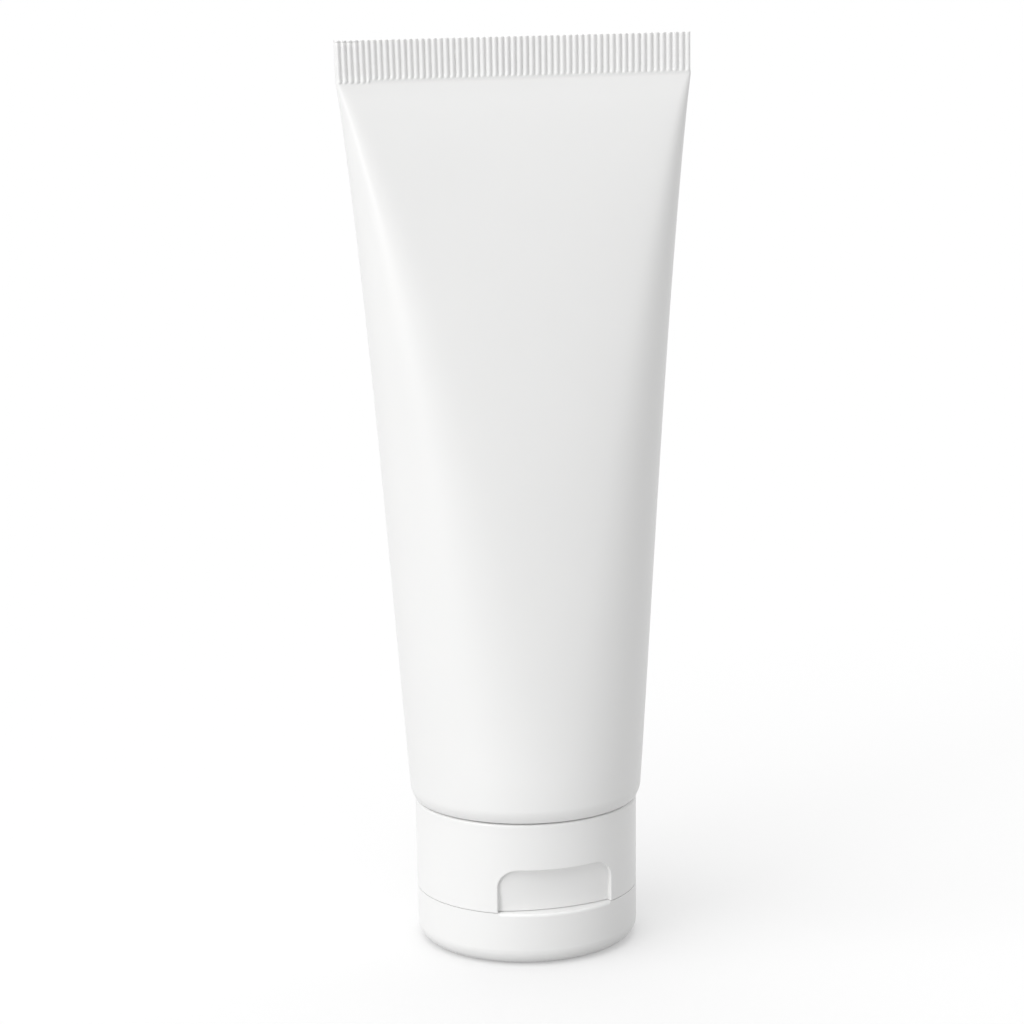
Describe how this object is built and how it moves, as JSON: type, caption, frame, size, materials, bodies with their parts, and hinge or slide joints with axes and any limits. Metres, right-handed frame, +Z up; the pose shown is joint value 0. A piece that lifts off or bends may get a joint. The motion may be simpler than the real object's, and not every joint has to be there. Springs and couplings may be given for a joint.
{
  "type": "denture adhesive tube",
  "caption": "Plain white squeeze tube standing on its closed flip-top cap, with a flat crimped seal across the top.",
  "frame": {"origin": "centre of the lid's flat outer face, on the surface that the closed tube stands on", "axes": "+Z up from the lid to the crimped seal, the seal runs along X, the thumb recess faces -Y and the film hinge is on the +Y side"},
  "size_m": [0.0538, 0.035, 0.136],
  "materials": {
    "sleeve_plastic": null,
    "cap_plastic": null,
    "head_plastic": null,
    "cream": null
  },
  "bodies": {
    "cap": {"cap_base": "cap_plastic", "film_hinge": "cap_plastic"},
    "lid": {"cap_lid": "cap_plastic"},
    "head": {"tube_head": "head_plastic"},
    "tube": {"tube_sleeve": "sleeve_plastic", "adhesive_cream": "cream"}
  },
  "joints": [
    {"name": "lid_flip", "type": "hinge", "parent": "cap", "child": "lid", "pos_m": [0, 0.01752, 0.00824], "axis": [1, 0, 0], "range_deg": [0, 180], "deforming": ["film_hinge"]},
    {"name": "unscrew_rise", "type": "slide", "parent": "cap", "child": "head", "axis": [0, 0, 1], "range_m": [0, 0.006]},
    {"name": "unscrew_turn", "type": "hinge", "parent": "head", "child": "tube", "pos_m": [0, 0, 0.03], "axis": [0, 0, 1], "range_deg": [0, 720.5]}
  ],
  "couplings": [
    {"joint": "unscrew_turn", "follows": "unscrew_rise", "rad_per_m": 2094.4}
  ]
}
